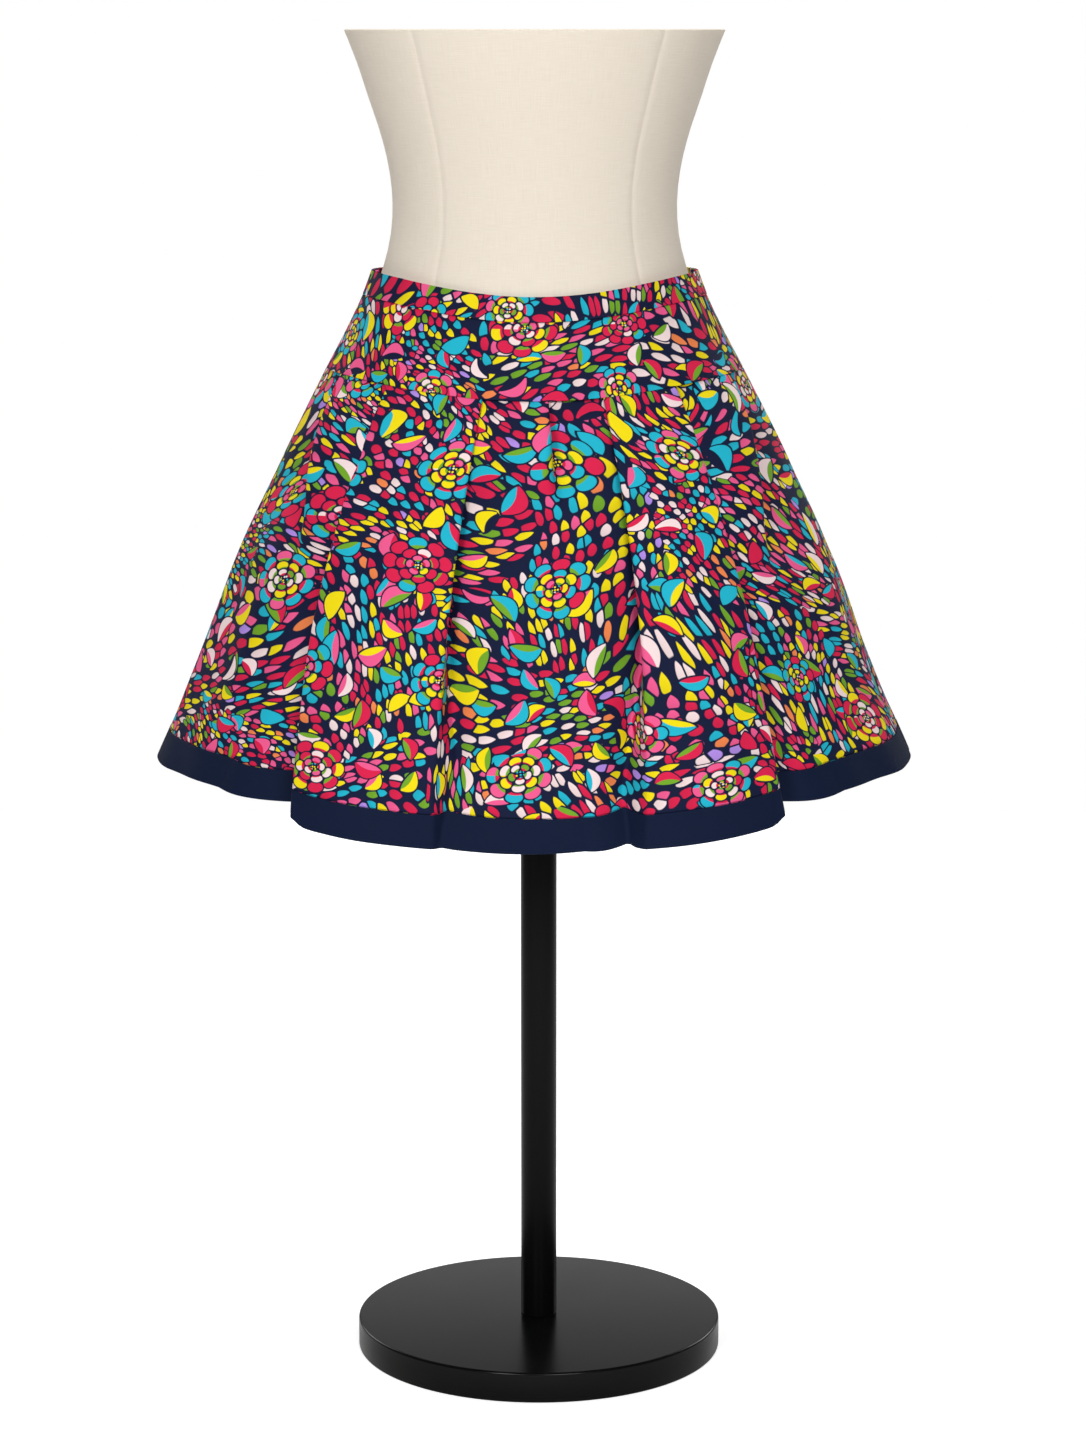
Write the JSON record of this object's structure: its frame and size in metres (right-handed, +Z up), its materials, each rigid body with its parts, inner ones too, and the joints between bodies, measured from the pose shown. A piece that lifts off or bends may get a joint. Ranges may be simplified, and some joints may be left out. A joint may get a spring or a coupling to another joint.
{
  "type": "pleated mini skirt on a dress form",
  "caption": "Short flared skirt with a narrow waistband, fitted yoke, released box pleats and a plain hem band, worn by a linen half dress form on a round pole stand.",
  "frame": {"origin": "middle of the underside of the round foot plate, on the floor", "axes": "+Z up along the pole, -Y towards the front of the skirt, +X towards the wearer's left"},
  "size_m": [0.6094, 0.4947, 1.0795],
  "materials": {
    "print_cloth": "light cotton with a bright all-over petal print on dark navy",
    "hem_cloth": "plain navy cotton, matt",
    "linen": "unbleached linen stretched on the form",
    "black_metal": "satin black paint on steel",
    "zip_metal": "navy enamelled zip slider and pull"
  },
  "bodies": {
    "skirt_and_form": {"waistband_front": "print_cloth", "waistband_back_left": "print_cloth", "waistband_back_right": "print_cloth", "yoke_front": "print_cloth", "yoke_back_left": "print_cloth", "yoke_back_right": "print_cloth", "skirt_front": "print_cloth", "skirt_back_left": "print_cloth", "skirt_back_right": "print_cloth", "hem_band_front": "hem_cloth", "hem_band_back_left": "hem_cloth", "hem_band_back_right": "hem_cloth", "zip_slider": "zip_metal", "form_torso": "linen", "form_flange": "black_metal", "stand_pole": "black_metal", "stand_foot": "black_metal"},
    "zip_tab": {"zip_pull": "zip_metal"}
  },
  "joints": [
    {"name": "zip_pull_hinge", "type": "hinge", "parent": "skirt_and_form", "child": "zip_tab", "pos_m": [-0.003, 0.1102, 0.87628], "axis": [1, 0, 0], "range_deg": [0, 150]}
  ]
}
